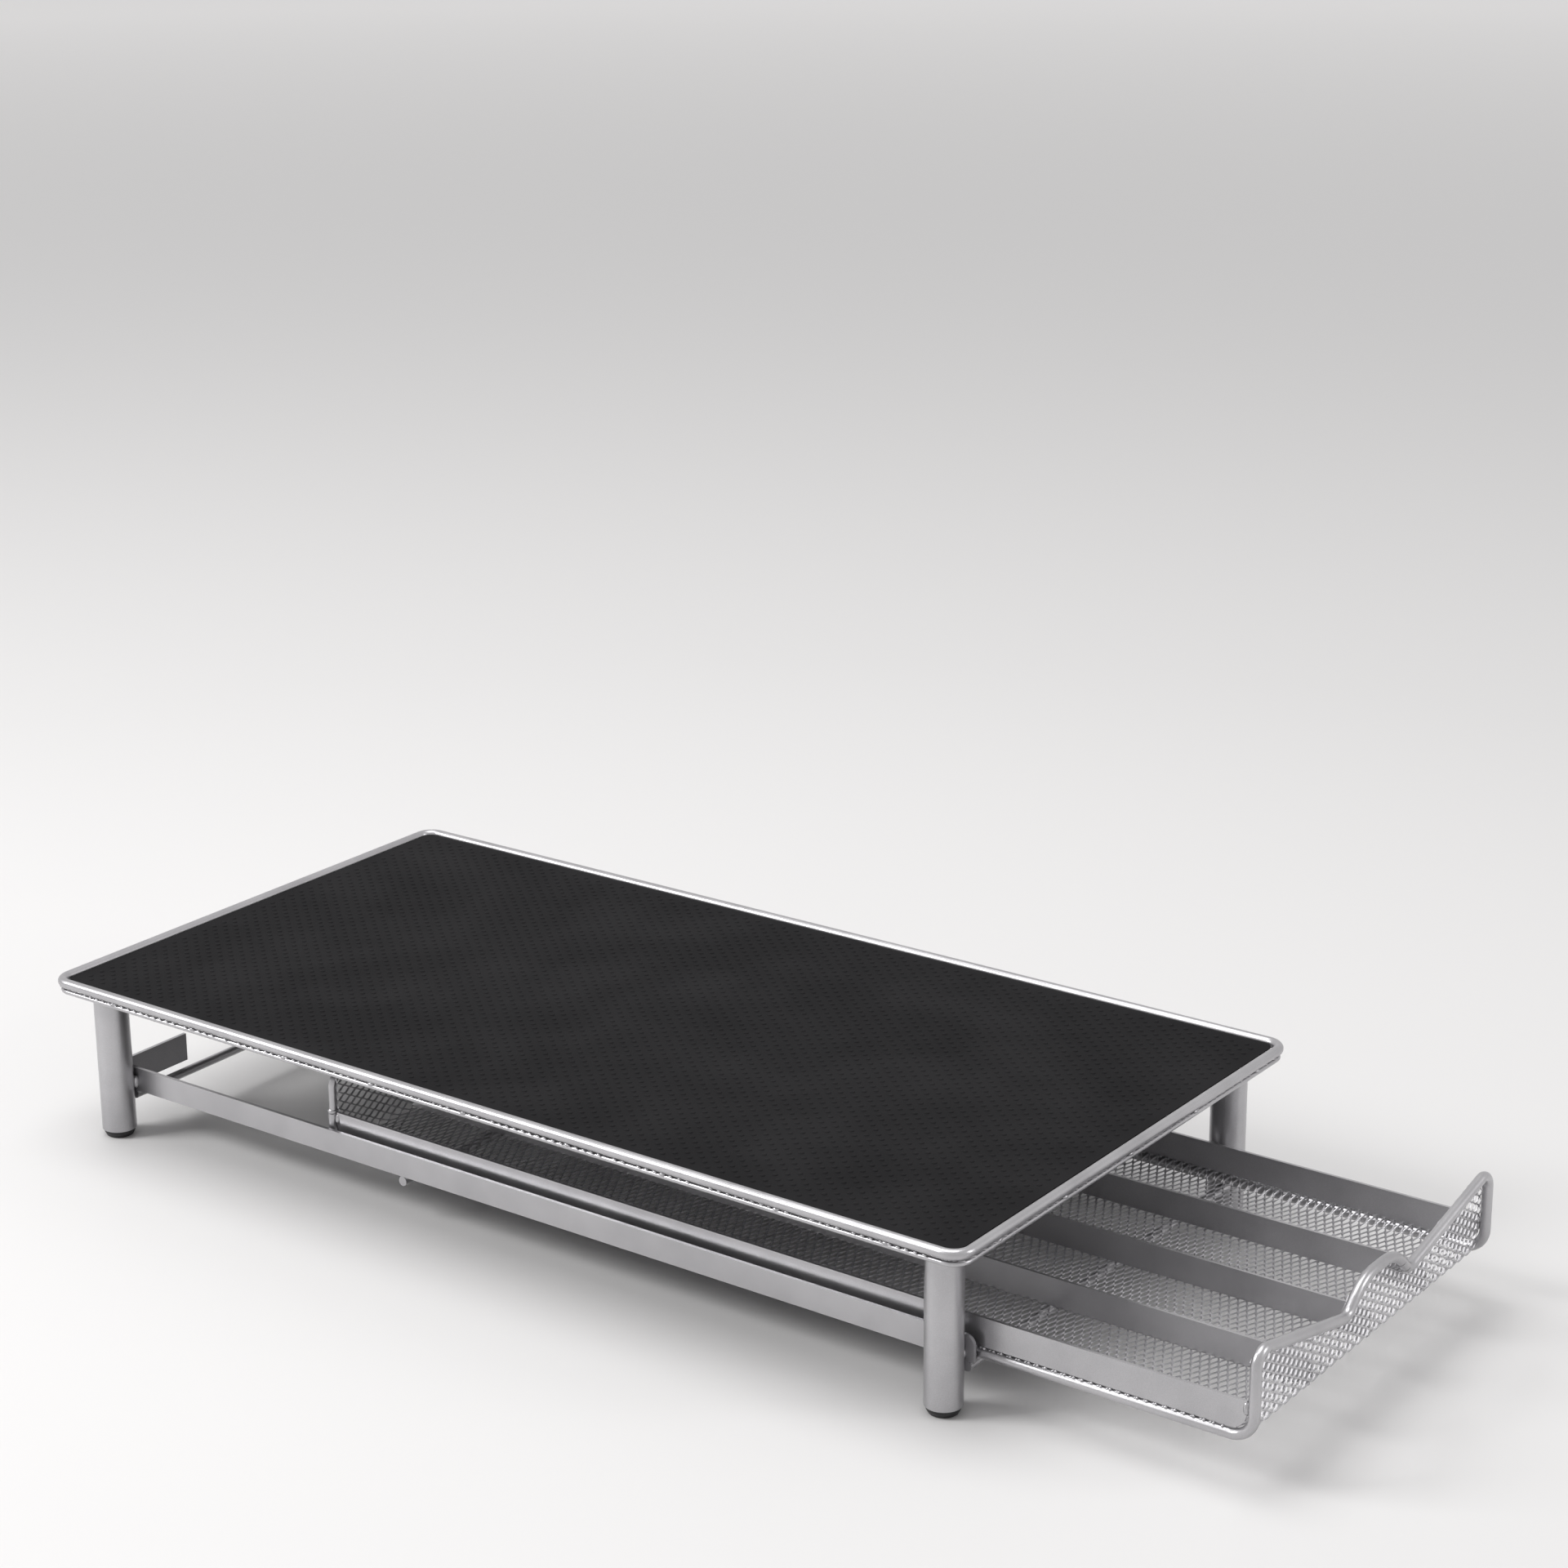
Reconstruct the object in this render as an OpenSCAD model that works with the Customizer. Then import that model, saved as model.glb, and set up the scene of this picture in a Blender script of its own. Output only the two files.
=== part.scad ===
// Pull-out drawer for coffee capsules, with a flat top that carries a coffee machine.
// Drawn with the drawer part of the way out. Millimetres, +Z up, the drawer opens towards -Y.
// The origin is on the table, under the middle of the whole outline.

/* [Top] */
// Length of the top over its rim, front to back
top_len = 460; // [420:5:600]
// Width of the top over its rim
top_w = 239; // [225:1:320]
// Height of the rim's upper edge above the table
top_h = 73; // [70:0.5:110]
// Diameter of the rim tube
rim_d = 4.2; // [3:0.1:6]
// Corner radius of the rim, on the tube's centre line
rim_r = 7; // [5:0.5:14]
// Diameter of the wire that clamps the mesh edge under the rim
clamp_wire_d = 2; // [1.5:0.1:3]
// Thickness of the mesh sheets
mesh_t = 0.6; // [0.4:0.1:1]
// How far the mesh edge shows outside the rim's centre line
mesh_lip = 1.2; // [0.5:0.1:1.8]
// Thickness of the anti-slip mat
mat_t = 2.6; // [1.5:0.1:3]
// Gap between the mat and the rim tube
mat_gap = 1; // [0.5:0.1:3]
// Width of the flat bars under the mesh
bar_w = 12; // [8:1:20]
// Thickness of the flat bars under the mesh
bar_t = 1.5; // [1:0.1:3]
// Gap between a bar's end and the clamp wire beside it
bar_end_gap = 2; // [1.5:0.5:6]

/* [Legs] */
// Diameter of a leg tube
leg_d = 14.6; // [10:0.2:18]
// Wall of a leg tube
leg_wall = 1; // [0.8:0.1:2]
// From the outside of the rim to the leg's axis, sideways
leg_inset_x = 17.2; // [14:0.2:24]
// From the outside of the rim to the leg's axis, lengthways
leg_inset_y = 18.2; // [14:0.2:24]
// Height of the black foot cap under the leg
foot_h = 3; // [2:0.5:6]
// How much narrower the cap's sole is than the leg
foot_step = 1.6; // [0.8:0.2:3]
// How far the cap's plug reaches up inside the leg
plug_h = 9; // [5:1:20]
// Clearance round the cap's plug
plug_fit = 0.05; // [0.02:0.01:0.1]

/* [Rails] */
// Height of the rail's lower edge above the table
rail_z = 18.1; // [14:0.1:24]
// Height of the rail strip
rail_h = 10.4; // [8:0.2:14]
// Thickness of the rail strip
rail_t = 1.5; // [1:0.1:3]
// How far the rail runs past the leg's axis at each end
rail_over = 8; // [7.6:0.2:14]
// Corner radius at the rail's upper ends
rail_corner_r = 4; // [1:0.5:7]
// Diameter of the cross rods that the drawer slides on
rod_d = 4; // [3:0.1:6]
// Front cross rod, ahead of the front legs' axes
front_rod_ahead = 5; // [2:0.5:5.5]
// Middle cross rod, from the middle of the stand, as a share of the way to the rear legs
middle_rod_share = 0.26; // [-0.3:0.01:0.4]
// Rear cross rod, ahead of the rear legs' axes
rear_rod_ahead = 3; // [2.5:0.5:12]
// Length of the tab that stops the drawer, sideways
stop_len = 32; // [15:1:50]
// Height of the stop tab
stop_h = 12.3; // [8:0.1:20]
// Height of the stop tab's lower edge above the rail's
stop_rise = 1.8; // [0.5:0.1:4]

/* [Drawer] */
// How far the closed drawer's front sits behind the rim's front edge
front_recess = 9; // [4:0.5:20]
// Gap between the closed drawer and the stop tabs
stop_gap = 0.6; // [0.2:0.1:3]
// Gap between the drawer and the rail, on each side
side_gap = 1.5; // [1:0.5:5]
// Gap between the drawer's wire and the rods that carry it
slide_gap = 0.3; // [0.2:0.1:1]
// How far the drawer's front stands out past the top, as drawn
drawer_out = 102.4; // [60:0.2:200]
// Diameter of the drawer's frame wire
wire_d = 4.2; // [3:0.1:5]
// Bend radius where the side wire turns up, at the front and the rear
side_bend = 9; // [7:0.5:11]
// Height of the front corners above the drawer's underside, before the bends
front_h = 38.1; // [32:0.1:44]
// Bend radius of the front corners
corner_bend = 5.5; // [4:0.5:9]
// Depth of the two dips below the front corners
dip_depth = 15; // [8:0.5:17]
// Distance of each dip from the middle
dip_x = 24; // [18:0.5:34]
// Height of the middle hump above the dips
hump_h = 11; // [6:0.5:13]
// Half the width of the hump between its upper bends
hump_x = 12; // [10:0.5:14]
// Bend radius of the hump
hump_bend = 20; // [8:0.5:22]
// Bend radius of the dips
dip_bend = 6; // [4:0.5:8]
// Diameter of the rear panel's wire
rear_wire_d = 3.6; // [3:0.1:4.2]
// Height of the rear panel above the drawer's underside
rear_h = 34; // [30:0.5:44]
// Height of the side and divider strips
strip_h = 11.5; // [8:0.5:15]
// Thickness of the side and divider strips
strip_t = 1.2; // [0.8:0.1:2]
// How far the mesh floor hangs below the side wires' upper edge
floor_drop = 2; // [1:0.1:2.6]
// Width of the sloped edge of the mesh floor
floor_slope_w = 4; // [2:0.5:8]

/* [Openings] */
// Diamond openings across the floor, standing for the fine mesh
floor_columns = 6; // [4:1:6]
// Rows of openings along the floor
floor_rows = 26; // [14:1:27]
// Width of the strands between the floor's openings
floor_strand = 3.6; // [2.5:0.1:4.5]
// Diamond openings across the front panel
front_columns = 12; // [8:1:12]
// Height of an opening's cell in the front panel
front_cell_h = 7.6; // [6:0.2:10]
// Width of the strands between the front panel's openings
front_strand = 1.8; // [1.4:0.1:2.4]

/* [Capsules] */
// Diameter of the capsule's flange, for the count that is printed
flange_d = 37; // [30:0.5:50]

/* [Hidden] */
$fn = 48;
half_len = top_len / 2;
half_w = top_w / 2;
stand_y = drawer_out / 2;

// Heights of the top, from the table up
rim_z = top_h - rim_d / 2;
mesh_top = top_h - rim_d;
mesh_low = mesh_top - mesh_t;
clamp_z = mesh_low - clamp_wire_d / 2;
bar_low = mesh_low - bar_t;

// The rim's centre line, and the bends in it
rim_x = half_w - rim_d / 2;
rim_y = half_len - rim_d / 2;

// Legs and rails
leg_x = half_w - leg_inset_x;
leg_y = half_len - leg_inset_y;
leg_bore = leg_d - 2 * leg_wall;
rail_x = leg_x - leg_d / 2 - rail_t;
rail_y = leg_y + rail_over;
rod_z = rail_z - rod_d / 2;
front_rod_y = -leg_y - front_rod_ahead;
rear_rod_y = leg_y - rear_rod_ahead;

// The drawer, from its underside up
drawer_x = rail_x - side_gap;
wire_x = drawer_x - wire_d / 2;
drawer_z = rail_z + slide_gap;
drawer_len = leg_y - rail_t / 2 - stop_gap + half_len - front_recess;
wire_z = drawer_z + wire_d / 2;
floor_edge = drawer_z + wire_d;
strip_z = floor_edge + mesh_t;
floor_top = strip_z - floor_drop;
post_z = wire_z + side_bend;
corner_z = drawer_z + front_h - wire_d / 2;
dip_z = corner_z - dip_depth;
hump_z = dip_z + hump_h;
heel_z = strip_z + strip_h;
rear_top_z = drawer_z + rear_h - rear_wire_d / 2;
front_y = -half_len - drawer_out + wire_d / 2;
rear_y = front_y + drawer_len - wire_d;
front_mesh_y = front_y + wire_d / 2;
rear_mesh_y = rear_y - wire_d / 2 - mesh_t;
inner_y = front_mesh_y + mesh_t;
inner_len = rear_mesh_y - inner_y;
lane_w = 2 * wire_x / 4;
// The strips' lower corners and the sheets' edges stay clear of the wire's bends
strip_corner_r = side_bend - wire_d / 2;
weld_gap = 0.1;
sheet_x = wire_x - wire_d / 2 - weld_gap;
eps = 0.01;
bead = 0.02;

echo(capsules_per_lane = floor(inner_len / flange_d), lane = lane_w - strip_t);

// ---- bent wire, drawn in the XY plane through a list of corner points ----

function direction(a, b) = (b - a) / norm(b - a);
function turn_at(p, i) =
    let (u = direction(p[i - 1], p[i]), v = direction(p[i], p[i + 1]))
    atan2(u.x * v.y - u.y * v.x, u * v);
function setback(p, r, i) = i == 0 || i == len(p) - 1 ? 0 : r[i] * tan(abs(turn_at(p, i)) / 2);

module straight_wire(a, b, d) {
    run = b - a;
    translate([a.x, a.y, 0])
        rotate([0, 0, atan2(run.y, run.x)])
        rotate([0, 90, 0])
        cylinder(d = d, h = norm(run));
}

module wire_bend(p, r, i, d) {
    turn = turn_at(p, i);
    side = sign(turn);
    along = direction(p[i - 1], p[i]);
    start = p[i] - along * setback(p, r, i);
    centre = start + side * r[i] * [-along.y, along.x];
    from_angle = atan2(start.y - centre.y, start.x - centre.x);
    translate([centre.x, centre.y, 0])
        rotate([0, 0, min(from_angle, from_angle + turn)])
        rotate_extrude(angle = abs(turn))
        translate([r[i], 0])
        circle(d = d);
}

module bent_wire(p, r, d) {
    for (i = [0 : len(p) - 2])
        straight_wire(p[i] + direction(p[i], p[i + 1]) * setback(p, r, i),
            p[i + 1] - direction(p[i], p[i + 1]) * setback(p, r, i + 1), d);
    for (i = [1 : len(p) - 2])
        wire_bend(p, r, i, d);
    // A bead a hair wider than the wire closes each joint of a slanted bend
    for (i = [1 : len(p) - 2])
        if (abs(abs(turn_at(p, i)) - 90) > 0.01)
            for (near = [p[i - 1], p[i + 1]])
                translate(concat(p[i] + direction(p[i], near) * setback(p, r, i), 0))
                    sphere(d = d + bead);
}

// A closed ring with rounded corners, at half sizes x and y on its centre line
module wire_ring(x, y, r, d) {
    bent_wire([[0, -y], [x, -y], [x, y], [-x, y], [-x, -y], [0, -y]], [0, r, r, r, r, 0], d);
}

module rounded_plate(x, y, r, t) {
    linear_extrude(t) {
        square([2 * x, 2 * (y - r)], center = true);
        square([2 * (x - r), 2 * y], center = true);
        for (sx = [-1, 1], sy = [-1, 1])
            translate([sx * (x - r), sy * (y - r)])
                circle(r);
    }
}

module upright_xz() { rotate([90, 0, 0]) children(); }
module upright_yz() { rotate([90, 0, 90]) children(); }

// Everything is drawn about the middle of the stand, then moved to the origin
module place() { translate([0, stand_y, 0]) children(); }

// ---- the stand ----

module top_rim() {
    color("silver") place()
        translate([0, 0, rim_z])
        wire_ring(rim_x, rim_y, rim_r, rim_d);
}

module clamp_wire() {
    color("silver") place()
        translate([0, 0, clamp_z])
        wire_ring(rim_x, rim_y, rim_r, clamp_wire_d);
}

module top_mesh() {
    color("gray") place()
        translate([0, 0, mesh_low])
        rounded_plate(rim_x + mesh_lip, rim_y + mesh_lip, rim_r + mesh_lip, mesh_t);
}

module anti_slip_mat() {
    inset = rim_d / 2 + mat_gap;
    color([0.13, 0.13, 0.13]) place()
        translate([0, 0, mesh_top])
        rounded_plate(rim_x - inset, rim_y - inset, max(rim_r - inset, 0.8), mat_t);
}

// A flat bar under the mesh; the front and rear ones rest on the legs
module top_bar(y) {
    reach = rim_x - clamp_wire_d / 2 - bar_end_gap;
    color("silver") place()
        translate([-reach, y - bar_w / 2, bar_low])
        cube([2 * reach, bar_w, bar_t]);
}

module front_top_bar() { top_bar(-leg_y); }
module middle_top_bar() { top_bar(0); }
module rear_top_bar() { top_bar(leg_y); }

module leg(side, end) {
    color("silver") place()
        translate([side * leg_x, end * leg_y, foot_h])
        difference() {
            cylinder(d = leg_d, h = bar_low - foot_h);
            translate([0, 0, -eps])
                cylinder(d = leg_bore, h = bar_low - foot_h + 2 * eps);
        }
}

module front_left_leg() { leg(-1, -1); }
module front_right_leg() { leg(1, -1); }
module rear_left_leg() { leg(-1, 1); }
module rear_right_leg() { leg(1, 1); }

module foot(side, end) {
    sole_d = leg_d - foot_step;
    color([0.08, 0.08, 0.08]) place()
        translate([side * leg_x, end * leg_y, 0])
        rotate_extrude()
        polygon([[0, 0], [sole_d / 2 - foot_step / 2, 0], [sole_d / 2, foot_h / 2], [sole_d / 2, foot_h],
            [leg_bore / 2 - plug_fit, foot_h], [leg_bore / 2 - plug_fit, foot_h + plug_h],
            [0, foot_h + plug_h]]);
}

module front_left_foot() { foot(-1, -1); }
module front_right_foot() { foot(1, -1); }
module rear_left_foot() { foot(-1, 1); }
module rear_right_foot() { foot(1, 1); }

// A flat strip with both upper corners rounded, welded to the inner side of two legs
module rail(side) {
    color("silver") place()
        translate([side > 0 ? rail_x : -rail_x - rail_t, 0, rail_z])
        upright_yz()
        linear_extrude(rail_t) {
            translate([-rail_y, 0])
                square([2 * rail_y, rail_h - rail_corner_r]);
            translate([-rail_y + rail_corner_r, 0])
                square([2 * (rail_y - rail_corner_r), rail_h]);
            for (end = [-1, 1])
                translate([end * (rail_y - rail_corner_r), rail_h - rail_corner_r])
                    circle(rail_corner_r);
        }
}

module left_rail() { rail(-1); }
module right_rail() { rail(1); }

module cross_rod(y) {
    reach = rail_x + rail_t;
    color("silver") place()
        translate([-reach, y, rod_z])
        rotate([0, 90, 0])
        cylinder(d = rod_d, h = 2 * reach);
}

module front_cross_rod() { cross_rod(front_rod_y); }
module middle_cross_rod() { cross_rod(middle_rod_share * leg_y); }
module rear_cross_rod() { cross_rod(rear_rod_y); }

// A plate that stands across the end of the rail and stops the drawer
module stop_tab(side) {
    color("silver") place()
        translate([side > 0 ? rail_x - stop_len : -rail_x, leg_y - rail_t / 2, rail_z + stop_rise])
        cube([stop_len, rail_t, stop_h]);
}

module left_stop_tab() { stop_tab(-1); }
module right_stop_tab() { stop_tab(1); }

// ---- the drawer ----

// Each side wire turns up at both ends; the front posts carry the waved rail
module drawer_frame() {
    color("silver") place() {
        for (side = [-1, 1])
            translate([side * wire_x, 0, 0])
                upright_yz()
                bent_wire([[rear_y, heel_z], [rear_y, wire_z], [front_y, wire_z], [front_y, post_z]],
                    [0, side_bend, side_bend, 0], wire_d);
        translate([0, front_y, 0])
            upright_xz()
            bent_wire([[-wire_x, post_z], [-wire_x, corner_z], [-dip_x, dip_z], [-hump_x, hump_z],
                    [hump_x, hump_z], [dip_x, dip_z], [wire_x, corner_z], [wire_x, post_z]],
                [0, corner_bend, dip_bend, hump_bend, hump_bend, dip_bend, corner_bend, 0], wire_d);
    }
}

// An upturned U on the two rear ends of the side wires
module rear_frame() {
    color("silver") place()
        translate([0, rear_y - (wire_d - rear_wire_d) / 2, 0])
        upright_xz()
        bent_wire([[-wire_x, heel_z], [-wire_x, rear_top_z], [wire_x, rear_top_z], [wire_x, heel_z]],
            [0, corner_bend, corner_bend, 0], rear_wire_d);
}

// The front panel's outline, from the floor up to the middle of the waved rail
module front_outline() {
    half = [[sheet_x, floor_top - mesh_t], [sheet_x, post_z], [wire_x, post_z],
        [wire_x, corner_z - 1.3 * corner_bend], [wire_x - 0.8 * corner_bend, corner_z - 0.4 * corner_bend],
        [dip_x, dip_z], [hump_x, hump_z]];
    polygon(concat([for (i = [0 : len(half) - 1]) half[i]],
        [for (i = [len(half) - 1 : -1 : 0]) [-half[i].x, half[i].y]]));
}

// One diamond opening in a cell with half sizes a and b, with half a strand left all round
module diamond(a, b, strand) {
    share = 1 - strand / 2 * norm([a, b]) / (a * b);
    polygon(share * [[a, 0], [0, b], [-a, 0], [0, -b]]);
}

// Height of the waved rail's centre line, before its bends
function rail_height(x) =
    abs(x) > dip_x ? dip_z + (abs(x) - dip_x) * (corner_z - dip_z) / (wire_x - dip_x)
    : abs(x) > hump_x ? dip_z + (dip_x - abs(x)) * (hump_z - dip_z) / (dip_x - hump_x)
    : hump_z;

// Rows of diamonds, each row half a cell to the side of the last, as high as the rail leaves room
module front_openings() {
    a = sheet_x / front_columns;
    b = front_cell_h / 2;
    low = floor_top + b;
    for (j = [0 : ceil((corner_z - low) / b)], i = [1 : 2 * front_columns - 1])
        if ((i + j) % 2 == 1) {
            x = -sheet_x + i * a;
            z = low + j * b;
            if (z + b < min(rail_height(x - a / 2), rail_height(x + a / 2)) - wire_d / 2)
                translate([x, z])
                    diamond(a, b, front_strand);
        }
}

module front_mesh() {
    color("silver") place()
        translate([0, front_mesh_y + mesh_t, 0])
        upright_xz()
        difference() {
            linear_extrude(mesh_t)
                front_outline();
            translate([0, 0, -eps])
                linear_extrude(mesh_t + 2 * eps)
                front_openings();
        }
}

module floor_openings(half_x, run) {
    a = half_x / floor_columns;
    b = run / floor_rows / 2;
    for (j = [1 : 2 * floor_rows - 1], i = [1 : 2 * floor_columns - 1])
        if ((i + j) % 2 == 0)
            translate([-half_x + i * a, j * b])
                diamond(a, b, floor_strand);
}

// A shallow tray: its edges lie on the side wires and its middle hangs between them
module floor_mesh() {
    bottom_x = sheet_x - floor_slope_w;
    color("silver") place()
        difference() {
            translate([0, rear_mesh_y, 0])
                upright_xz()
                linear_extrude(inner_len)
                polygon([[-drawer_x, strip_z], [-sheet_x, strip_z], [-bottom_x, floor_top],
                    [bottom_x, floor_top], [sheet_x, strip_z], [drawer_x, strip_z],
                    [drawer_x, floor_edge], [sheet_x, floor_edge], [bottom_x, floor_top - mesh_t],
                    [-bottom_x, floor_top - mesh_t], [-sheet_x, floor_edge], [-drawer_x, floor_edge]]);
            translate([0, inner_y, floor_top - mesh_t - eps])
                linear_extrude(mesh_t + 2 * eps)
                floor_openings(bottom_x, inner_len);
            for (side = [-1, 1], y = [inner_y - eps, rear_y - side_bend])
                translate([side > 0 ? sheet_x : -drawer_x - eps, y, floor_edge - eps])
                    cube([drawer_x - sheet_x + eps, side_bend + eps, mesh_t + 2 * eps]);
        }
}

module rear_mesh() {
    color("silver") place()
        translate([0, rear_mesh_y + mesh_t, 0])
        upright_xz()
        linear_extrude(mesh_t)
        polygon([[-sheet_x, floor_top - mesh_t], [sheet_x, floor_top - mesh_t], [sheet_x, post_z],
            [wire_x, post_z], [wire_x, rear_top_z - corner_bend], [wire_x - corner_bend, rear_top_z],
            [-wire_x + corner_bend, rear_top_z], [-wire_x, rear_top_z - corner_bend], [-wire_x, post_z],
            [-sheet_x, post_z]]);
}

// A flat strip on edge over the side wire, its lower corners rounded to the wire's bends
module side_strip(side) {
    color("silver") place()
        translate([side * wire_x - strip_t / 2, inner_y, strip_z])
        upright_yz()
        linear_extrude(strip_t)
        intersection() {
            square([inner_len, strip_h]);
            union() {
                translate([strip_corner_r, 0])
                    square([inner_len - 2 * strip_corner_r, strip_h]);
                translate([0, strip_corner_r])
                    square([inner_len, strip_h]);
                for (y = [strip_corner_r, inner_len - strip_corner_r])
                    translate([y, strip_corner_r])
                        circle(strip_corner_r);
            }
        }
}

module left_side_strip() { side_strip(-1); }
module right_side_strip() { side_strip(1); }

// A strip on edge between two lanes, standing on the mesh floor
module divider(x) {
    color("silver") place()
        translate([x - strip_t / 2, inner_y, floor_top])
        cube([strip_t, inner_len, strip_h]);
}

module left_divider() { divider(-lane_w); }
module middle_divider() { divider(0); }
module right_divider() { divider(lane_w); }

top_rim();
clamp_wire();
top_mesh();
anti_slip_mat();
front_top_bar();
middle_top_bar();
rear_top_bar();
front_left_leg();
front_right_leg();
rear_left_leg();
rear_right_leg();
front_left_foot();
front_right_foot();
rear_left_foot();
rear_right_foot();
left_rail();
right_rail();
front_cross_rod();
middle_cross_rod();
rear_cross_rod();
left_stop_tab();
right_stop_tab();
drawer_frame();
rear_frame();
front_mesh();
floor_mesh();
rear_mesh();
left_side_strip();
right_side_strip();
left_divider();
middle_divider();
right_divider();
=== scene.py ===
import math
import random
import bpy
import bmesh
from mathutils import Matrix, Vector, noise


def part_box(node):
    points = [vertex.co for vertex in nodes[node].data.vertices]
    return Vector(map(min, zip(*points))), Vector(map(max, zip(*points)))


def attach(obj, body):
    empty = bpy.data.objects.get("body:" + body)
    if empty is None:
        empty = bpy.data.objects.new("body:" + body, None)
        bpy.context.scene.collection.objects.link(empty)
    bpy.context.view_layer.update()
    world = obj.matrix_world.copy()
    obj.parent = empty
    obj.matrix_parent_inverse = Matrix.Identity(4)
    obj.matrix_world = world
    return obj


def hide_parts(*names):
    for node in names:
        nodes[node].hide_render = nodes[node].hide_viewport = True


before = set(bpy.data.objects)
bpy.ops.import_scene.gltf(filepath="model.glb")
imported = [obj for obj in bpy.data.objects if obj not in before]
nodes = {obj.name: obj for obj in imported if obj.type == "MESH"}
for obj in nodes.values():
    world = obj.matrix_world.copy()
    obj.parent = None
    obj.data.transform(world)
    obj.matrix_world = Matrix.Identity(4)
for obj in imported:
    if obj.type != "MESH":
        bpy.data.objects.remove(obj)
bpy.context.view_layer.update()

mm = 0.001
print("frame loaded:", len(nodes), "nodes")


# Where things are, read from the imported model

def nodeBox(name):
    low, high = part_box(name)
    return Vector(low), Vector(high)


def middle(name):
    low, high = nodeBox(name)
    return (low + high) / 2 / mm


rimLow, rimHigh = nodeBox("top_rim")
topMeshLow, topMeshHigh = nodeBox("top_mesh")
matLow, matHigh = nodeBox("anti_slip_mat")
wireLow, wireHigh = nodeBox("drawer_frame")
frontLow, frontHigh = nodeBox("front_mesh")
rearLow, rearHigh = nodeBox("rear_mesh")
standMidY = (rimLow.y + rimHigh.y) / 2 / mm
wireRadius = 2.1  # in mm, of the rim's tube and of the drawer's wire
close = 0.01  # mm that count as the same place


# Satin silver paint, black rubber and black plastic

def newMaterial(name, colour, metallic, roughness):
    mat = bpy.data.materials.new(name)
    mat.use_nodes = True
    shader = mat.node_tree.nodes["Principled BSDF"]
    shader.inputs["Base Color"].default_value = (*colour, 1)
    shader.inputs["Metallic"].default_value = metallic
    shader.inputs["Roughness"].default_value = roughness
    return mat, mat.node_tree, shader


def noiseNode(tree, scale, detail):
    coords = tree.nodes.new("ShaderNodeTexCoord")
    tex = tree.nodes.new("ShaderNodeTexNoise")
    tex.inputs["Scale"].default_value = scale
    tex.inputs["Detail"].default_value = detail
    tree.links.new(coords.outputs["Object"], tex.inputs["Vector"])
    return tex.outputs["Fac"]


def rampNode(tree, source, stops):
    ramp = tree.nodes.new("ShaderNodeValToRGB")
    for element, (position, colour) in zip(ramp.color_ramp.elements, stops):
        element.position = position
        element.color = (*colour, 1)
    tree.links.new(source, ramp.inputs["Fac"])
    return ramp.outputs["Color"]


def addRoughness(tree, shader, source, rough):
    spread = tree.nodes.new("ShaderNodeMapRange")
    spread.inputs["To Min"].default_value, spread.inputs["To Max"].default_value = rough
    tree.links.new(source, spread.inputs["Value"])
    tree.links.new(spread.outputs["Result"], shader.inputs["Roughness"])


def addBump(tree, shader, source, strength):
    bump = tree.nodes.new("ShaderNodeBump")
    bump.inputs["Strength"].default_value = strength
    bump.inputs["Distance"].default_value = 0.2 * mm
    tree.links.new(source, bump.inputs["Height"])
    tree.links.new(bump.outputs["Normal"], shader.inputs["Normal"])


silverPaint = {"light": (0.54, 0.535, 0.55), "dark": (0.47, 0.465, 0.48), "patchStops": (0.32, 0.62),
               "dullFlake": 0.86, "flakeStops": (0.4, 0.66), "metallic": 0.9,
               "patch": 38, "flake": 5200, "peel": 760, "bump": 0.12}


def satinSilver(name, brightness, rough):
    light, dark = ([c * brightness for c in silverPaint[shade]] for shade in ("light", "dark"))
    mat, tree, shader = newMaterial(name, light, silverPaint["metallic"], rough[0])
    patch = noiseNode(tree, silverPaint["patch"], 3)  # the coat lies a little thicker here and there
    tone = rampNode(tree, patch, zip(silverPaint["patchStops"], (dark, light)))
    flake = noiseNode(tree, silverPaint["flake"], 1)  # metal flakes in the silver paint
    flakeShades = [silverPaint["dullFlake"]] * 3, (1.0, 1.0, 1.0)
    sparkle = rampNode(tree, flake, zip(silverPaint["flakeStops"], flakeShades))
    blend = tree.nodes.new("ShaderNodeMixRGB")
    blend.blend_type = "MULTIPLY"
    blend.inputs["Fac"].default_value = 1.0
    tree.links.new(tone, blend.inputs["Color1"])
    tree.links.new(sparkle, blend.inputs["Color2"])
    tree.links.new(blend.outputs["Color"], shader.inputs["Base Color"])
    addRoughness(tree, shader, patch, rough)
    addBump(tree, shader, noiseNode(tree, silverPaint["peel"], 2), silverPaint["bump"])  # faint orange peel
    return mat


matRubber = {"light": (0.017, 0.0165, 0.0175), "dark": (0.010, 0.0097, 0.0105), "stops": (0.35, 0.65),
             "rough": (0.66, 0.80), "shine": 0.07, "patch": 24, "grain": 2600, "bump": 0.35}


def matBlack():
    mat, tree, shader = newMaterial("matBlack", matRubber["light"], 0, matRubber["rough"][0])
    shader.inputs["Specular IOR Level"].default_value = matRubber["shine"]
    patch = noiseNode(tree, matRubber["patch"], 4)
    tone = rampNode(tree, patch, zip(matRubber["stops"], (matRubber["dark"], matRubber["light"])))
    tree.links.new(tone, shader.inputs["Base Color"])
    addRoughness(tree, shader, patch, matRubber["rough"])
    addBump(tree, shader, noiseNode(tree, matRubber["grain"], 2), matRubber["bump"])
    return mat


capPlastic = {"light": (0.020, 0.020, 0.021), "dark": (0.011, 0.011, 0.012), "stops": (0.35, 0.65),
              "rough": 0.46, "mould": 900, "bump": 0.2}


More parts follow.
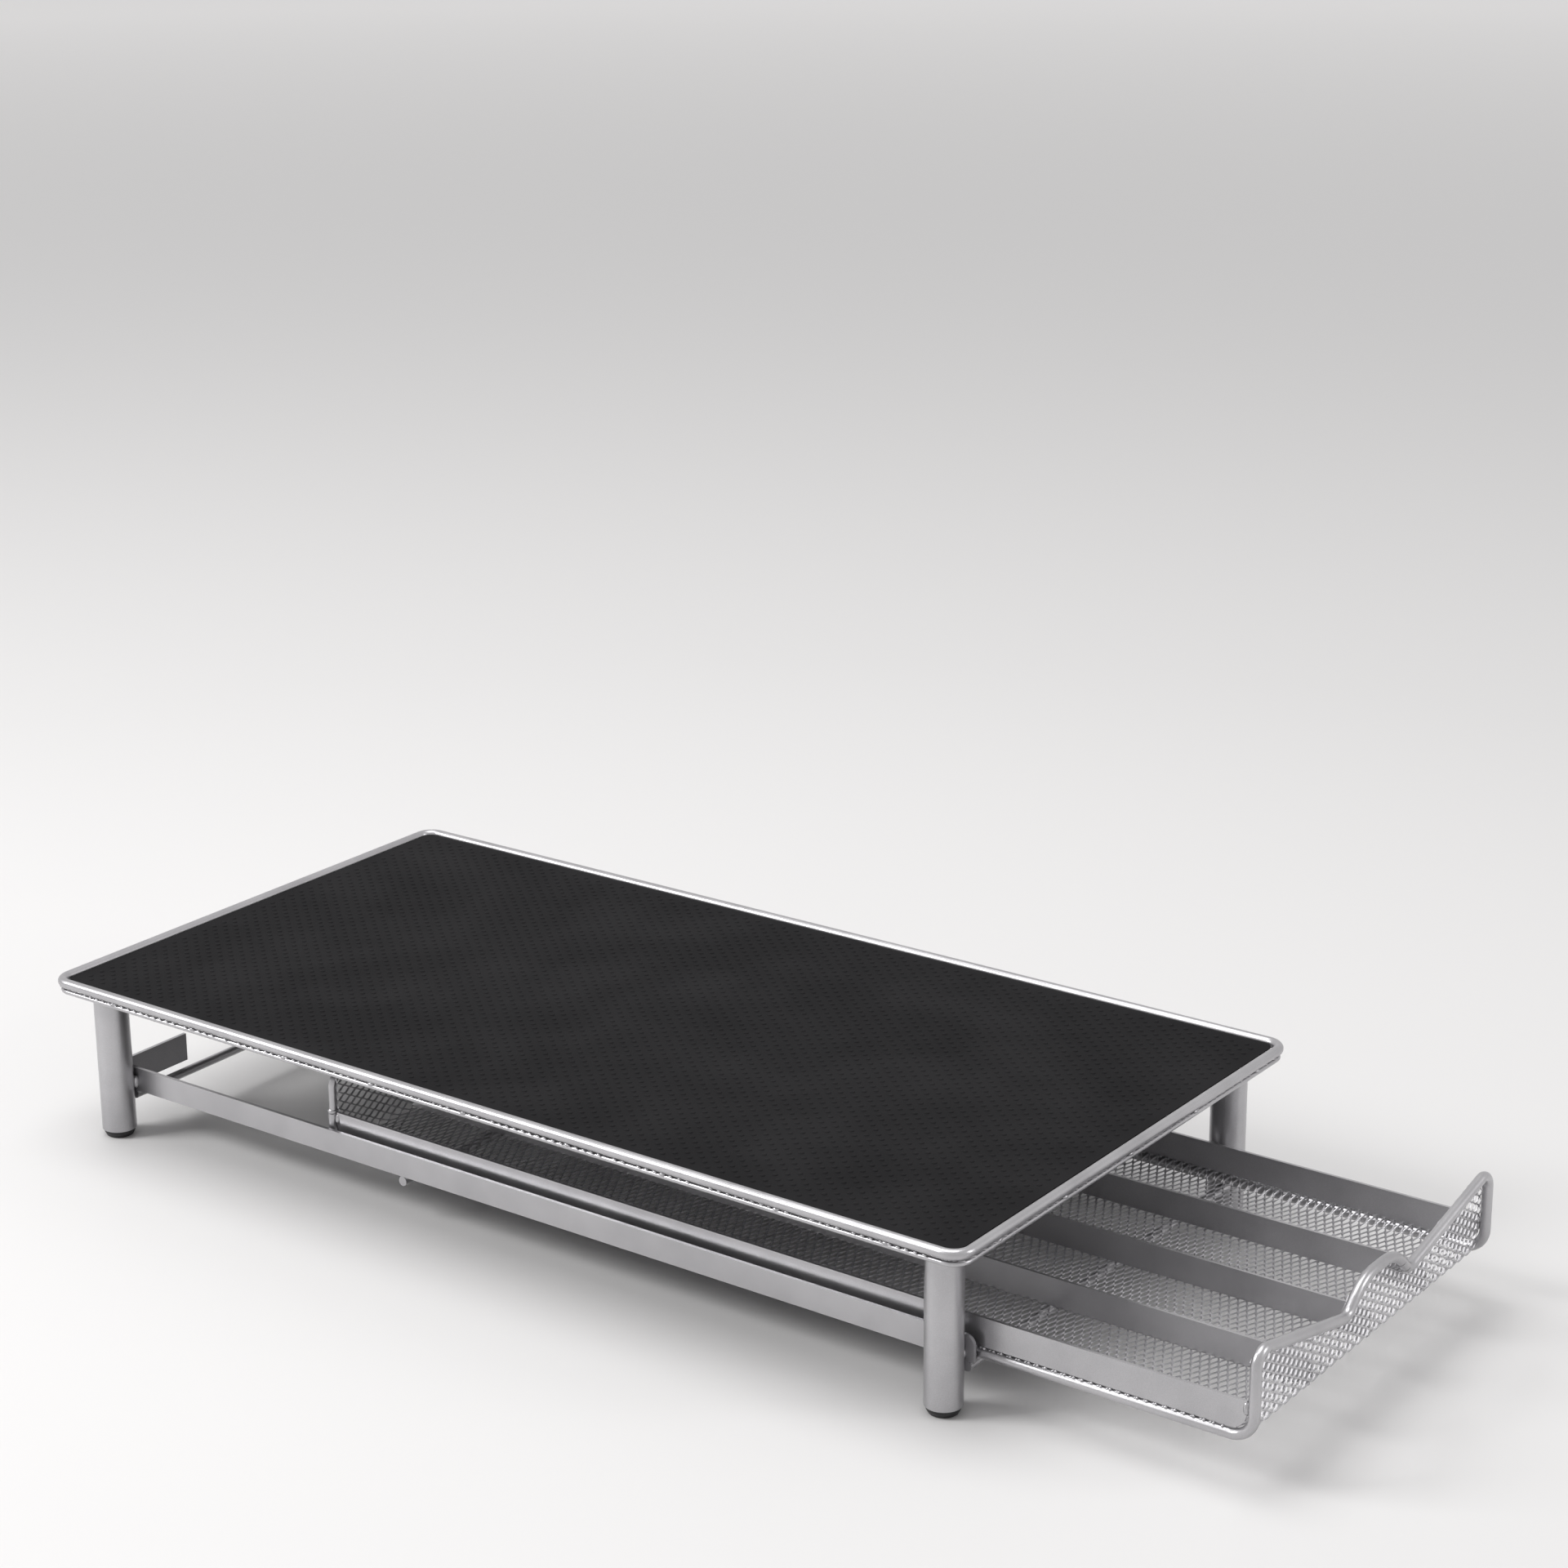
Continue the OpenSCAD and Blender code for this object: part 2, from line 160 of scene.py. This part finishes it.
def footBlack():
    mat, tree, shader = newMaterial("footBlack", capPlastic["light"], 0, capPlastic["rough"])
    mould = noiseNode(tree, capPlastic["mould"], 3)
    tone = rampNode(tree, mould, zip(capPlastic["stops"], (capPlastic["dark"], capPlastic["light"])))
    tree.links.new(tone, shader.inputs["Base Color"])
    addBump(tree, shader, mould, capPlastic["bump"])
    return mat


wireSilver = satinSilver("wireSilver", 1.0, (0.27, 0.36))
# The mesh gets a lighter copy of the same silver paint: painted light, so the strands read as brightly lit
meshSilverLit = satinSilver("meshSilverLit", 1.12, (0.38, 0.47))
# Welds and pressed strand ends get a darker copy of the same silver paint: painted shade where the pieces
# meet
weldSilverShaded = satinSilver("weldSilverShaded", 0.94, (0.27, 0.36))
padBlack = matBlack()
capBlack = footBlack()
print("materials made")


# The wires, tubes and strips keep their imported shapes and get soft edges, in mm
softEdges = {
    "top_rim": 0, "clamp_wire": 0, "drawer_frame": 0, "rear_frame": 0,
    "front_left_leg": 0.6, "front_right_leg": 0.6, "rear_left_leg": 0.6, "rear_right_leg": 0.6,
    "front_cross_rod": 0.5, "middle_cross_rod": 0.5, "rear_cross_rod": 0.5,
    "left_rail": 0.3, "right_rail": 0.3, "left_stop_tab": 0.3, "right_stop_tab": 0.3,
    "front_top_bar": 0.25, "middle_top_bar": 0.25, "rear_top_bar": 0.25,
    "left_side_strip": 0.25, "right_side_strip": 0.25,
    "left_divider": 0.25, "middle_divider": 0.25, "right_divider": 0.25,
    "front_left_foot": 0.3, "front_right_foot": 0.3, "rear_left_foot": 0.3, "rear_right_foot": 0.3,
    "anti_slip_mat": 0.6,
}
edgeLook = {"smoothUnder": 32, "roundOver": 50, "segments": 2}  # angles in degrees


def dress(name, material, bevel):
    obj = nodes[name]
    obj.data.materials.clear()
    obj.data.materials.append(material)
    for face in obj.data.polygons:
        face.use_smooth = True
    obj.data.set_sharp_from_angle(angle=math.radians(edgeLook["smoothUnder"]))
    if bevel:
        edge = obj.modifiers.new("softEdge", "BEVEL")
        edge.width = bevel * mm
        edge.segments = edgeLook["segments"]
        edge.limit_method = "ANGLE"
        edge.angle_limit = math.radians(edgeLook["roundOver"])
        edge.harden_normals = True


for name, bevel in softEdges.items():
    finish = capBlack if name.endswith("foot") else padBlack if name == "anti_slip_mat" else wireSilver
    dress(name, finish, bevel)
print("wires, tubes and strips dressed")


# A sheet of diamonds: each has a six-sided hole, and the strands between two holes are tilted,
# so the upper edge of a strand stands proud and its lower edge is set back. Sizes are in mm
expanded = {"across": 6.8, "along": 3.75, "strand": 0.29, "tilt": 0.38, "thick": 0.46,
            "holeNeck": 0.27, "holeReach": 0.86, "mergeUnder": 0.04, "sliverArea": 0.009}


def expandedSheet(name, width, length, keep, place, thick=expanded["thick"]):
    columns = max(1, round(width / expanded["across"]))
    rows = max(1, round(length / expanded["along"]))
    a, b = width / columns / 2, length / rows / 2  # half a diamond
    inset = 1 - expanded["strand"] / (a * b / math.hypot(a, b))
    w, h = a * inset, b * inset  # half a hole
    neck, reach, tilt = expanded["holeNeck"] * a, expanded["holeReach"] * h, expanded["tilt"]
    points, index, faces = [], {}, []

    def corner(i, j):  # corners are shared, at half steps
        if (i, j) not in index:
            index[i, j] = len(points)
            points.append(place(-width / 2 + i * a, j * b, 0))
        return index[i, j]

    def hole(u, v, lift):
        points.append(place(u, v, lift))
        return len(points) - 1

    for j in range(1, 2 * rows):
        for i in range(1, 2 * columns):
            u, v = -width / 2 + i * a, j * b
            if (i + j) % 2 or not keep(u, v):
                continue
            left, right, low, high = corner(i - 1, j), corner(i + 1, j), corner(i, j - 1), corner(i, j + 1)
            holeLeft, holeRight = hole(u - w, v, 0), hole(u + w, v, 0)
            highLeft, highRight = hole(u - neck, v + reach, -tilt), hole(u + neck, v + reach, -tilt)
            lowLeft, lowRight = hole(u - neck, v - reach, tilt), hole(u + neck, v - reach, tilt)
            faces += [(left, holeLeft, highLeft, high), (high, highLeft, highRight),
                      (high, highRight, holeRight, right), (right, holeRight, lowRight, low),
                      (low, lowRight, lowLeft), (low, lowLeft, holeLeft, left)]
    mesh = bpy.data.meshes.new(name)
    mesh.from_pydata([[c * mm for c in p] for p in points], [], faces)
    bm = bmesh.new()
    bm.from_mesh(mesh)
    # the sheet's cut edge closes some corners up
    bmesh.ops.remove_doubles(bm, verts=bm.verts, dist=expanded["mergeUnder"] * mm)
    slivers = [face for face in bm.faces if face.calc_area() < expanded["sliverArea"] * mm ** 2]
    bmesh.ops.delete(bm, geom=slivers, context="FACES")
    bm.to_mesh(mesh)
    bm.free()
    obj = bpy.data.objects.new(name, mesh)
    bpy.context.scene.collection.objects.link(obj)
    solid = obj.modifiers.new("strandThickness", "SOLIDIFY")
    solid.thickness = thick * mm
    solid.offset = 0
    obj.data.materials.append(meshSilverLit)
    return obj


def cutBack(value, limit):
    return max(-limit, min(limit, value))


# The top's mesh lies flat, its cut edge caught between the rim and the clamp wire
topSheet = {"cornerRadius": 8.2, "thick": 0.42, "tiltShare": 0.4,
            "drift": 0.9, "driftEvery": 31, "driftSlant": 0.02}


def topDrift(y, slant=0):  # the long edges were sheared a little unevenly
    return topSheet["drift"] * (0.5 + 0.5 * math.sin(y / topSheet["driftEvery"] + slant))


def topMesh():
    halfX, halfY = topMeshHigh.x / mm, (topMeshHigh.y - topMeshLow.y) / 2 / mm
    z = (topMeshLow.z + topMeshHigh.z) / 2 / mm
    r = topSheet["cornerRadius"]

    def cutOff(x, y):  # strands end on the sheet's cut edge
        x, y = cutBack(x, halfX - topDrift(y, topSheet["driftSlant"] * x)), cutBack(y, halfY)
        dx, dy = abs(x) - (halfX - r), abs(y) - (halfY - r)
        if dx > 0 and dy > 0 and math.hypot(dx, dy) > r:
            pull = r / math.hypot(dx, dy)
            x, y = math.copysign(halfX - r + dx * pull, x), math.copysign(halfY - r + dy * pull, y)
        return x, y

    def keep(u, v):
        x, y = cutOff(u, v - halfY)
        return math.hypot(x - u, y - v + halfY) < close

    def place(u, v, lift):
        x, y = cutOff(u, v - halfY)
        return (x, standMidY + y, z + topSheet["tiltShare"] * lift)

    obj = expandedSheet("topMesh", 2 * halfX, 2 * halfY, keep, place, topSheet["thick"])
    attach(obj, "stand")
    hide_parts("top_mesh")


topMesh()

# The drawer's mesh is one sheet: rear panel, dished floor and front panel, folded at both ends
tray = {"fold": 2.4, "floorUp": 0.3, "frontSpare": 6, "lift": 2.0, "liftWidth": 4.0, "endClear": 9.4,
        "flatFrom": 0.97, "under": 2.2, "feel": 1.6, "sideGap": 0.15, "overWire": 1.1, "inPosts": 0.3,
        "postsFrom": 29.5}
railHeights = {}


# Top of the waved rail over a place across the front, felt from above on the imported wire
def railTop(x):
    key = round(x, 1)
    if key not in railHeights:
        start = Vector((key * mm, wireLow.y + wireRadius * mm, wireHigh.z + 20 * mm))
        hit, at = nodes["drawer_frame"].ray_cast(start, Vector((0, 0, -1)))[:2]
        railHeights[key] = at.z / mm if hit else wireLow.z / mm
    return railHeights[key]


def trayMesh():
    rearY, frontY = (rearLow.y + rearHigh.y) / 2 / mm, (frontLow.y + frontHigh.y) / 2 / mm
    floorZ = frontLow.z / mm + tray["floorUp"]
    rearTop, frontTop = rearHigh.z / mm, frontHigh.z / mm + tray["frontSpare"]
    r = tray["fold"]
    arc = math.pi / 2 * r
    rearRise, frontRise = rearTop - floorZ - r, frontTop - floorZ - r
    flat = rearY - frontY - 2 * r
    half = wireHigh.x / mm
    sheetHalf, wireHalf = half - 2 * wireRadius - tray["sideGap"], half - wireRadius

    # v runs from the rear panel's top, down, forward along the floor and up the front;
    # this gives y, z, how far the floor's dish counts there, and the way out of the sheet
    def route(v):
        if v < rearRise:
            return rearY, rearTop - v, 0, (1, 0)
        v -= rearRise
        if v < arc:
            g = v / r
            out = (math.cos(g), -math.sin(g))
            return rearY - r + r * math.cos(g), floorZ + r - r * math.sin(g), 0, out
        v -= arc
        if v < flat:
            return rearY - r - v, floorZ, min(1, min(v, flat - v) / tray["endClear"]), (0, -1)
        v -= flat
        if v < arc:
            g = v / r
            out = (-math.sin(g), -math.cos(g))
            return frontY + r - r * math.sin(g), floorZ + r - r * math.cos(g), 0, out
        return frontY, floorZ + r + v - arc, 0, (-1, 0)

    def dish(x):
        t = max(0, min(1, (abs(x) - (sheetHalf - tray["liftWidth"])) / tray["liftWidth"]))
        over = max(0, abs(x) - wireHalf)  # the cut edge lies round the side wire
        return tray["lift"] * t * t * (3 - 2 * t) - (wireRadius - math.sqrt(wireRadius ** 2 - over ** 2))

    def cutOff(u, y, z, share):  # strands end on the wires that they are welded to
        if share > tray["flatFrom"]:
            wide = wireHalf + tray["overWire"]
        else:
            wide = wireHalf - tray["inPosts"] if z > tray["postsFrom"] else sheetHalf
        x = cutBack(u, wide)
        if y < frontY + close:
            z = min([z] + [railTop(x + d) - tray["under"] for d in (-tray["feel"], 0, tray["feel"])])
        return x, z

    def place(u, v, lift):
        y, z, share, out = route(v)
        x, z = cutOff(u, y, z, share)
        return (x, y + out[0] * lift, z + out[1] * lift + dish(x) * share)

    def keep(u, v):
        y, z, share, out = route(v)
        x, top = cutOff(u, y, z, share)
        return abs(x - u) < close and abs(z - top) < close

    obj = expandedSheet("drawerMesh", 2 * half, rearRise + arc + flat + arc + frontRise, keep, place)
    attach(obj, "drawer")
    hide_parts("floor_mesh", "front_mesh", "rear_mesh")


trayMesh()
print("expanded mesh made")


def meshPiece(name, bm, material):
    mesh = bpy.data.meshes.new(name)
    bm.to_mesh(mesh)
    bm.free()
    for face in mesh.polygons:
        face.use_smooth = True
    obj = bpy.data.objects.new(name, mesh)
    bpy.context.scene.collection.objects.link(obj)
    obj.data.materials.append(material)
    return obj


# The mat's raised dots; the profile is in shares of the radius and in mm over the mat
dots = {"across": 6.05, "along": 6.95, "radius": 1.15, "sides": 7, "margin": 3.0, "matCorner": 3.9,
        "profile": ((1.0, -0.1), (0.93, 0.125), (0.55, 0.25)), "smoothUnder": 60}


def dotRing(bm, x, y, z, radius):
    turns = [2 * math.pi * k / dots["sides"] for k in range(dots["sides"])]
    return [bm.verts.new((mm * (x + radius * math.cos(turn)), mm * (y + radius * math.sin(turn)), mm * z))
            for turn in turns]


def matDots():
    halfX, halfY = matHigh.x / mm, (matHigh.y - matLow.y) / 2 / mm
    z, r = matHigh.z / mm, dots["matCorner"]
    bm = bmesh.new()
    nx, ny = int(halfX / dots["across"] * 2) + 1, int(halfY / dots["along"] * 2) + 1
    for j in range(-ny, ny + 1):
        for i in range(-nx, nx + 1):
            x, y = i * dots["across"] / 2, j * dots["along"] / 2
            dx, dy = max(abs(x) - (halfX - r), 0), max(abs(y) - (halfY - r), 0)
            if (i + j) % 2 or math.hypot(dx, dy) > r - dots["margin"]:
                continue
            rings = [dotRing(bm, x, standMidY + y, z + up, share * dots["radius"])
                     for share, up in dots["profile"]]
            for lower, upper in zip(rings, rings[1:]):
                for k in range(dots["sides"]):
                    n = (k + 1) % dots["sides"]
                    bm.faces.new((lower[k], lower[n], upper[n], upper[k]))
            bm.faces.new(rings[-1])
            bm.faces.new(list(reversed(rings[0])))
    obj = meshPiece("matDots", bm, padBlack)
    obj.data.set_sharp_from_angle(angle=math.radians(dots["smoothUnder"]))
    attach(obj, "stand")


matDots()
print("mat dots made")


# Welds: small painted lumps where the pieces meet, all in mm
rand = random.Random(7)
lumps = {"swell": 0.22, "grain": 1.6, "shift": (3.1, 1.7, 0.9)}


def weldBlob(bm, centre, size, seed, finer):
    made = bmesh.ops.create_icosphere(bm, subdivisions=finer, radius=1.0)
    shift = Vector([seed * s for s in lumps["shift"]])
    for v in made["verts"]:
        lump = 1 + lumps["swell"] * noise.noise(v.co * lumps["grain"] + shift)
        v.co = Vector([c * s * lump for c, s in zip(v.co, size)]) * mm + Vector(centre) * mm


def weldPiece(name, body, blobs, finer=2):
    bm = bmesh.new()
    for k, (centre, size) in enumerate(blobs):
        weldBlob(bm, centre, size, k + len(name), finer)
    obj = meshPiece(name, bm, weldSilverShaded)
    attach(obj, body)


# Seams hold the rails to the legs, tacks the rods under the rails and the stop tabs inside them
standWeld = {
    "legSeam": {"out": 0.9, "along": 4.6, "z": 22.5, "size": (1.4, 1.5, 3.0)},
    "legTack": {"out": 0.5, "along": 3.9, "z": 21.0, "size": (0.7, 0.8, 2.0)},
    "rodTack": {"in": 0.5, "along": 1.5, "z": 17.7, "size": (1.5, 1.2, 0.9)},
    "tabTack": {"in": 0.3, "before": 1.0, "z": (22.0, 26.5), "size": (1.0, 0.8, 1.8)},
}


def standWelds():
    blobs = []
    railLow, railHigh = nodeBox("left_rail")
    outer, inner = -railLow.x / mm, -railHigh.x / mm
    seam, legTack, rodTack, tabTack = standWeld.values()
    tab = middle("left_stop_tab")
    for side in (-1, 1):
        for leg in ("front", "rear"):
            at = middle(leg + "_left_leg")
            inward = 1 if leg == "front" else -1  # the seam is on the side that doesn't show from the end
            blobs.append(((side * (outer + seam["out"]), at.y + inward * seam["along"], seam["z"]),
                          seam["size"]))
            blobs.append(((side * (outer + legTack["out"]), at.y - inward * legTack["along"], legTack["z"]),
                          legTack["size"]))
        for rod in ("front_cross_rod", "middle_cross_rod", "rear_cross_rod"):
            at = middle(rod)
            for y in (at.y - rodTack["along"], at.y + rodTack["along"]):
                blobs.append(((side * (inner - rodTack["in"]), y, rodTack["z"]), rodTack["size"]))
        for z in tabTack["z"]:
            blobs.append(((side * (inner - tabTack["in"]), tab.y - tabTack["before"], z), tabTack["size"]))
    weldPiece("standWelds", "stand", blobs)


# The mesh edge is tacked to the rim from below
rimWeld = {"sidePitch": 49, "sideSteps": 4, "endPitch": 46, "endSteps": 2, "jitter": 3,
           "out": 0.5, "up": 0.1, "long": 1.6, "wide": 0.9, "high": 0.8}


def rimWelds():
    blobs = []
    halfX, halfY = rimHigh.x / mm - wireRadius, (rimHigh.y - rimLow.y) / 2 / mm - wireRadius
    z = topMeshLow.z / mm + rimWeld["up"]
    long, wide, high = rimWeld["long"], rimWeld["wide"], rimWeld["high"]
    for side in (-1, 1):
        for k in range(-rimWeld["sideSteps"], rimWeld["sideSteps"] + 1):
            y = k * rimWeld["sidePitch"] + rand.uniform(-rimWeld["jitter"], rimWeld["jitter"])
            blobs.append(((side * (halfX + rimWeld["out"]), standMidY + y, z), (wide, long, high)))
        for k in range(-rimWeld["endSteps"], rimWeld["endSteps"] + 1):
            x = k * rimWeld["endPitch"] + rand.uniform(-rimWeld["jitter"], rimWeld["jitter"])
            blobs.append(((x, standMidY + side * (halfY + rimWeld["out"]), z), (long, wide, high)))
    weldPiece("rimWelds", "stand", blobs)


# A seam down each end of the side strips, a lump on the rear corners, tacks at the dividers' ends
drawerWeld = {
    "stripSeam": {"in": 0.3, "z": 31.6, "size": (1.3, 1.3, 2.9)},
    "cornerLump": {"behind": 2.0, "size": (2.5, 2.5, 1.7)},
    "dividerTack": {"in": 0.2, "z": (23.5, 30.5), "size": (1.1, 0.8, 1.1)},
}


def drawerWelds():
    blobs = []
    wireX = wireHigh.x / mm - wireRadius
    frontY, rearY = frontHigh.y / mm, rearLow.y / mm
    stripTop = nodeBox("left_side_strip")[1].z / mm
    seam, lump, tack = drawerWeld.values()
    for side in (-1, 1):
        for y in (frontY + seam["in"], rearY - seam["in"]):
            blobs.append(((side * wireX, y, seam["z"]), seam["size"]))
        blobs.append(((side * wireX, rearHigh.y / mm + lump["behind"], stripTop), lump["size"]))
    for name in ("left_divider", "middle_divider", "right_divider"):
        for y in (frontY + tack["in"], rearY - tack["in"]):
            for z in tack["z"]:
                blobs.append(((middle(name).x, y, z), tack["size"]))
    weldPiece("drawerWelds", "drawer", blobs)


# The cut ends of the floor's strands, pressed down on the side wires and painted over
floorEnd = {"out": 0.55, "up": 0.12, "endClear": 9, "jitter": 0.35,
            "wide": 0.85, "long": (0.8, 1.15), "high": (0.42, 0.58)}


def strandEnds():
    blobs = []
    x, z = wireHigh.x / mm - wireRadius + floorEnd["out"], wireLow.z / mm + 2 * wireRadius + floorEnd["up"]
    y = frontHigh.y / mm + floorEnd["endClear"]
    while y < rearLow.y / mm - floorEnd["endClear"]:
        for side in (-1, 1):
            long = rand.uniform(*floorEnd["long"])
            shift = rand.uniform(-floorEnd["jitter"], floorEnd["jitter"])
            high = rand.uniform(*floorEnd["high"])
            blobs.append(((side * x, y + shift, z), (floorEnd["wide"], long, high)))
        y += expanded["along"]
    weldPiece("strandEnds", "drawer", blobs, finer=1)


# The same ends on the top's long edges, seen between the rim and the clamp wire in uneven runs
rimTooth = {"steps": 57, "pressedFlat": 0.16, "in": 0.05, "follow": 0.7, "up": 0.05, "jitter": 0.3,
            "wide": 0.68, "long": (1.0, 1.4), "high": (0.4, 0.5)}


def rimTeeth():
    blobs = []
    edge, z = topMeshHigh.x / mm, (topMeshLow.z + topMeshHigh.z) / 2 / mm + rimTooth["up"]
    for k in range(-rimTooth["steps"], rimTooth["steps"] + 1):
        y = k * expanded["along"]
        x = edge - rimTooth["in"] - rimTooth["follow"] * topDrift(y)
        for side in (-1, 1):
            if rand.random() < rimTooth["pressedFlat"]:
                continue
            shift = rand.uniform(-rimTooth["jitter"], rimTooth["jitter"])
            long, high = rand.uniform(*rimTooth["long"]), rand.uniform(*rimTooth["high"])
            blobs.append(((side * x, standMidY + y + shift, z), (rimTooth["wide"], long, high)))
    weldPiece("rimTeeth", "stand", blobs, finer=1)


standWelds()
rimWelds()
drawerWelds()
strandEnds()
rimTeeth()
print("welds made")


# Floor, light and camera

def seenRays(tree):  # what the camera sees, also in a reflection
    path = tree.nodes.new("ShaderNodeLightPath")
    found = path.outputs["Is Camera Ray"]
    for ray in ("Is Glossy Ray", "Is Transmission Ray"):
        either = tree.nodes.new("ShaderNodeMath")
        either.operation = "MAXIMUM"
        tree.links.new(found, either.inputs[0])
        tree.links.new(path.outputs[ray], either.inputs[1])
        found = either.outputs["Value"]
    return found


paleFloor = {"size": 14, "drop": 0.2, "colour": (0.80, 0.79, 0.785), "rough": 0.62,
             "glowReach": (0.8, 5.0), "glow": (0, 0.40)}


def studioFloor():
    bpy.ops.mesh.primitive_plane_add(size=paleFloor["size"], location=(0, 0, -paleFloor["drop"] * mm))
    floor = bpy.context.object
    floor.name = "studioFloor"
    mat, tree, shader = newMaterial("studioFloor", paleFloor["colour"], 0, paleFloor["rough"])
    coords = tree.nodes.new("ShaderNodeTexCoord")
    reach = tree.nodes.new("ShaderNodeVectorMath")
    reach.operation = "LENGTH"
    tree.links.new(coords.outputs["Object"], reach.inputs[0])
    glow = tree.nodes.new("ShaderNodeMapRange")  # the far floor stays as pale as the near floor
    glow.inputs["From Min"].default_value, glow.inputs["From Max"].default_value = paleFloor["glowReach"]
    glow.inputs["To Min"].default_value, glow.inputs["To Max"].default_value = paleFloor["glow"]
    tree.links.new(reach.outputs["Value"], glow.inputs["Value"])
    times = tree.nodes.new("ShaderNodeMath")
    times.operation = "MULTIPLY"
    tree.links.new(glow.outputs["Result"], times.inputs[0])
    tree.links.new(seenRays(tree), times.inputs[1])
    shader.inputs["Emission Color"].default_value = (*paleFloor["colour"], 1)
    tree.links.new(times.outputs["Value"], shader.inputs["Emission Strength"])
    floor.data.materials.append(mat)


paleRoom = {"light": (0.86, 0.86, 0.87), "strength": 0.42, "seen": (0.80, 0.79, 0.79), "seenStrength": 0.95}


def studioWorld():
    world = bpy.data.worlds.new("studioWorld")
    world.use_nodes = True
    bpy.context.scene.world = world
    tree = world.node_tree
    plain = tree.nodes["Background"]
    plain.inputs["Color"].default_value = (*paleRoom["light"], 1)
    plain.inputs["Strength"].default_value = paleRoom["strength"]
    seen = tree.nodes.new("ShaderNodeBackground")
    seen.inputs["Color"].default_value = (*paleRoom["seen"], 1)
    seen.inputs["Strength"].default_value = paleRoom["seenStrength"]
    pick = tree.nodes.new("ShaderNodeMixShader")
    tree.links.new(seenRays(tree), pick.inputs["Fac"])
    tree.links.new(plain.outputs["Background"], pick.inputs[1])
    tree.links.new(seen.outputs["Background"], pick.inputs[2])
    tree.links.new(pick.outputs["Shader"], tree.nodes["World Output"].inputs["Surface"])


lamps = {
    "overheadLight": {"power": 19, "size": (1.3, 1.3), "at": (-0.1, 0.2, 1.9), "towards": (0, 0, 0)},
    "leftLight": {"power": 30, "size": (0.8, 1.0), "at": (-1.35, 1.45, 1.45), "towards": (0, 0, 0.04)},
    "rightLight": {"power": 6, "size": (0.5, 0.9), "at": (0.7, -1.7, 0.9), "towards": (0, -0.05, 0.04)},
}


def softBox(name, lamp):
    data = bpy.data.lights.new(name, "AREA")
    data.energy = lamp["power"]
    data.shape = "RECTANGLE"
    data.size, data.size_y = lamp["size"]
    light = bpy.data.objects.new(name, data)
    light.location = lamp["at"]
    aim = Vector(lamp["towards"]) - Vector(lamp["at"])
    light.rotation_euler = aim.to_track_quat("-Z", "Y").to_euler()
    bpy.context.scene.collection.objects.link(light)


studioFloor()
studioWorld()
for name, lamp in lamps.items():
    softBox(name, lamp)


# The lens is the photograph's, in mm for a film 36 mm wide; the angles are in degrees
view = {"at": (-1.0282, -0.7742, 0.6024), "azimuth": -53.60, "elevation": 18.21, "roll": -0.44,
        "film": 36, "lens": 4233 / 1920 * 36, "farClip": 30}


def photoCamera():
    az, el, roll = (math.radians(view[angle]) for angle in ("azimuth", "elevation", "roll"))
    forward = Vector((-math.sin(az) * math.cos(el), math.cos(az) * math.cos(el), -math.sin(el)))
    level = Vector((math.cos(az), math.sin(az), 0))
    above = level.cross(forward)
    right = level * math.cos(roll) + above * math.sin(roll)
    up = above * math.cos(roll) - level * math.sin(roll)
    data = bpy.data.cameras.new("photoCamera")
    data.sensor_width = view["film"]
    data.lens = view["lens"]
    data.clip_end = view["farClip"]
    cam = bpy.data.objects.new("photoCamera", data)
    turned = Matrix((right, up, -forward)).transposed()
    cam.matrix_world = Matrix.Translation(view["at"]) @ turned.to_4x4()
    bpy.context.scene.collection.objects.link(cam)
    bpy.context.scene.camera = cam


photoCamera()
bpy.context.scene.view_settings.view_transform = "Standard"
print("studio and camera set")

bpy.context.view_layer.update()
